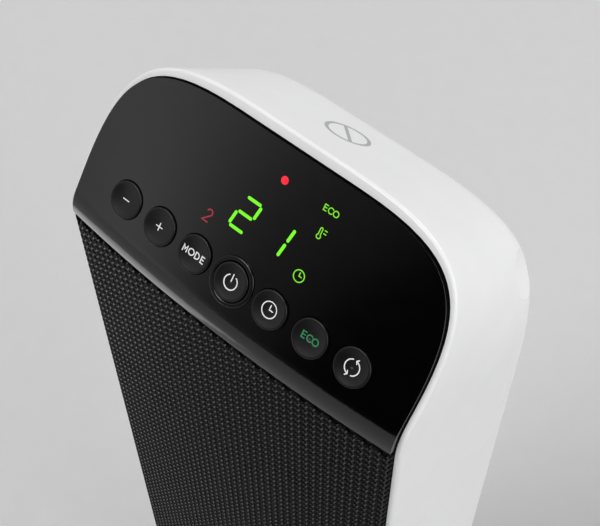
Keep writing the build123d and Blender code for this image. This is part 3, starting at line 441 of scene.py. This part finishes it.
class Outline:
    """Plan curve that gives a point and its outward direction at a distance along it."""

    def __init__(self, points):
        self.points = [Vector(point) for point in points]
        self.along = [0.0]
        for first, second in zip(self.points, self.points[1:]):
            self.along.append(self.along[-1] + (second - first).length)
        self.length = self.along[-1]
        self.index = 0

    def at(self, distance):
        distance = min(max(distance, 0.0), self.length)
        while self.index and self.along[self.index] > distance:
            self.index -= 1
        while self.index < len(self.along) - 2 and self.along[self.index + 1] < distance:
            self.index += 1
        first, second = self.points[self.index], self.points[self.index + 1]
        step = self.along[self.index + 1] - self.along[self.index]
        share = (distance - self.along[self.index]) / step
        way = (second - first).normalized()
        return first.lerp(second, share), Vector((way.y, -way.x))


plan = Outline(grille_outline())


def on_mesh(along, up, depth):
    """Point on the mesh, at a distance along its plan, a height and a depth behind its face."""
    point, out = plan.at(along)
    return ((point.x - out.x * depth) * MM, (point.y - out.y * depth) * MM, up * MM)


# the cell's corners and the middles of its sides, in sixths of a column step and quarter cells
CELL_EDGE = [(4, 0), (3, 1), (2, 2), (0, 2), (-2, 2), (-3, 1),
             (-4, 0), (-3, -1), (-2, -2), (0, -2), (2, -2), (3, -1)]


def ring_point(corner, share):
    """Offset of a ring's point from the hole's centre, with the corners drawn in to round it."""
    u, v = corner[0] * CELL_STEP / 6, corner[1] * CELL / 4
    is_corner = corner[0] in (-4, -2, 2, 4)
    pull = share * (AT_CORNER if is_corner else AT_SIDE)
    return u * pull, v * pull


def mesh_band(name, row_range, columns, left, low):
    """Rows of rounded six-sided holes with rounded strands between them."""
    points, faces, shared = [], [], {}
    count = len(CELL_EDGE)

    def strand_points(across, up):
        """Front and back points between holes, shared by the holes around them."""
        if (across, up) not in shared:
            at = (left + across * CELL_STEP / 6, low + up * CELL / 4)
            shared[across, up] = len(points)
            points.append(on_mesh(*at, 0.0))
            points.append(on_mesh(*at, MESH_T))
        return shared[across, up]

    for row in row_range:
        for column in range(columns):
            across, up = 6 * column, 4 * row + 2 * (column % 2)
            middle = (left + across * CELL_STEP / 6, low + up * CELL / 4)
            outer = [strand_points(across + u, up + v) for u, v in CELL_EDGE]
            inner = len(points)
            for share, depth in RINGS:
                for corner in CELL_EDGE:
                    u, v = ring_point(corner, share)
                    points.append(on_mesh(middle[0] + u, middle[1] + v, depth))
            for side in range(count):
                other = (side + 1) % count
                loops = [(outer[side], outer[other])]
                loops += [(inner + count * k + side, inner + count * k + other)
                          for k in range(len(RINGS))]
                loops.append((outer[side] + 1, outer[other] + 1))
                for (a, b), (c, d) in zip(loops, loops[1:]):
                    faces.append((a, c, d, b))
    return new_piece(name, points, faces, MESH, "tower")


def front_mesh():
    """The whole mesh in bands."""
    margin = 2
    rows = int((GRILLE_HIGH - GRILLE_LOW - margin) / CELL)
    columns = int((plan.length - margin) / CELL_STEP)
    left = (plan.length - (columns - 1) * CELL_STEP) / 2
    low = (GRILLE_LOW + GRILLE_HIGH - (rows - 0.5) * CELL) / 2
    cuts = [round(rows * index / BANDS) for index in range(BANDS + 1)]
    for index in range(BANDS):
        rows_here = range(cuts[index], cuts[index + 1])
        band = mesh_band(f"front_mesh_{index + 1}", rows_here, columns, left, low)
        smooth(band)
        if index == 0:
            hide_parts("front_grille")


def smooth(piece, angle=60):
    piece.data.shade_smooth()
    piece.data.set_sharp_from_angle(angle=math.radians(angle))


def edge_strip():
    """Thin strip behind the four edges of the mesh."""
    steps = 90
    length = plan.length
    edges = [
        (0.0, length, GRILLE_LOW, GRILLE_LOW + RIM_WIDTH, steps),
        (0.0, length, GRILLE_HIGH - RIM_WIDTH, GRILLE_HIGH, steps),
        (0.0, RIM_WIDTH, GRILLE_LOW, GRILLE_HIGH, 2),
        (length - RIM_WIDTH, length, GRILLE_LOW, GRILLE_HIGH, 2),
    ]
    points, faces = [], []
    for start, end, low, high, count in edges:
        section = [(low, RIM_DEPTH), (high, RIM_DEPTH), (high, MESH_T), (low, MESH_T)]
        first = len(points)
        for index in range(count + 1):
            along = start + (end - start) * index / count
            for up, depth in section:
                points.append(on_mesh(along, up, depth))
        for index in range(count):
            near = first + 4 * index
            for side in range(4):
                other = (side + 1) % 4
                faces.append((near + other, near + side, near + 4 + side, near + 4 + other))
        last = len(points) - 4
        faces += [(first, first + 1, first + 2, first + 3), (last + 3, last + 2, last + 1, last)]
    piece = new_piece("front_mesh_rim", points, faces, MESH, "tower")


front_mesh()
edge_strip()

# ---------------------------------------------------------------- soft edges on moulded parts
soften("body_shell", 0.4)
soften("control_panel", 0.6)
soften("rear_cover", 0.4)
soften("filter_cover", 0.4)
soften("rocker_bezel", 0.4)
soften("power_rocker", 0.4)
soften("cord_inlet", 0.5)


# ---------------------------------------------------------------- floor, lights and camera
def floor():
    """Plain pale floor."""
    mesh = bpy.data.meshes.new("floor")
    half = 30.0
    mesh.from_pydata([(-half, -half, 0), (half, -half, 0), (half, half, 0), (-half, half, 0)],
                     [], [(0, 1, 2, 3)])
    mesh.materials.append(surface("floor", (0.54, 0.54, 0.54), 0.7, tone=0.01, grain=300))
    plane = bpy.data.objects.new("floor", mesh)
    bpy.context.scene.collection.objects.link(plane)


def lamp(name, place, aim, size, power):
    """Rectangular lamp that is mirrored but not seen."""
    data = bpy.data.lights.new(name, "AREA")
    data.shape = "RECTANGLE"
    data.size, data.size_y = size
    data.energy = power
    light = bpy.data.objects.new(name, data)
    light.location = place
    light.rotation_euler = (Vector(aim) - Vector(place)).to_track_quat("-Z", "Y").to_euler()
    light.visible_camera = False
    bpy.context.scene.collection.objects.link(light)


def sun(name, come_from, strength, spread):
    """Soft far light from a direction."""
    data = bpy.data.lights.new(name, "SUN")
    data.energy = strength
    data.angle = math.radians(spread)
    light = bpy.data.objects.new(name, data)
    light.rotation_euler = (-Vector(come_from)).to_track_quat("-Z", "Y").to_euler()
    bpy.context.scene.collection.objects.link(light)


def studio_sky():
    """Pale room with a dark flag in front, a little to the right, that the glossy panel mirrors."""
    world = bpy.data.worlds.new("studio")
    bpy.context.scene.world = world
    world.use_nodes = True
    tree = world.node_tree
    where = tree.nodes.new("ShaderNodeTexCoord").outputs["Generated"]
    facing = tree.nodes.new("ShaderNodeVectorMath")
    facing.operation = "DOT_PRODUCT"
    tree.links.new(where, facing.inputs[0])
    facing.inputs[1].default_value = Vector((0.1, -0.97, 0.25)).normalized()
    ramp = tree.nodes.new("ShaderNodeValToRGB")
    ramp.color_ramp.interpolation = "EASE"
    tree.links.new(facing.outputs["Value"], ramp.inputs["Fac"])
    stops = ramp.color_ramp.elements
    stops[0].position, stops[0].color = 0.60, (0.44, 0.44, 0.44, 1)
    stops[1].position, stops[1].color = 0.93, (0.003, 0.003, 0.003, 1)
    for position, level in ((0.76, 0.98), (0.87, 0.18)):
        stops.new(position).color = (level, level, level, 1)
    # the flag is only mirrored: what is seen directly is a pale backdrop
    seen = tree.nodes.new("ShaderNodeLightPath").outputs["Is Camera Ray"]
    backdrop = tree.nodes.new("ShaderNodeMix")
    backdrop.data_type = "RGBA"
    tree.links.new(seen, backdrop.inputs["Factor"])
    tree.links.new(ramp.outputs["Color"], backdrop.inputs["A"])
    backdrop.inputs["B"].default_value = (0.55, 0.55, 0.55, 1)
    back = tree.nodes["Background"]
    tree.links.new(backdrop.outputs["Result"], back.inputs["Color"])
    back.inputs["Strength"].default_value = 1.0


def camera():
    """The photograph's viewpoint."""
    data = bpy.data.cameras.new("camera")
    data.lens = 70.1
    data.sensor_width = 36.0
    data.shift_x, data.shift_y = -0.019, 0.0077
    data.clip_start, data.clip_end = 0.01, 100
    viewer = bpy.data.objects.new("camera", data)
    viewer.location = (0.1938, -0.2208, 0.9522)
    viewer.rotation_euler = Euler([math.radians(a) for a in (35.763, -0.126, 41.201)])
    bpy.context.scene.collection.objects.link(viewer)
    bpy.context.scene.camera = viewer


floor()
sun("sun_back", (0.15, 0.9, 0.9), 0.8, 20)
sun("sun_right", (1.0, 0.1, 0.5), 1.2, 50)
sun("sun_front", (-0.35, -0.7, 1.0), 1.35, 30)
lamp("card_left", (-0.5, -0.42, 0.02), (-0.5, -0.42, 1.0), (0.36, 0.6), 0.8)
studio_sky()
camera()
bpy.context.scene.view_settings.view_transform = "Standard"
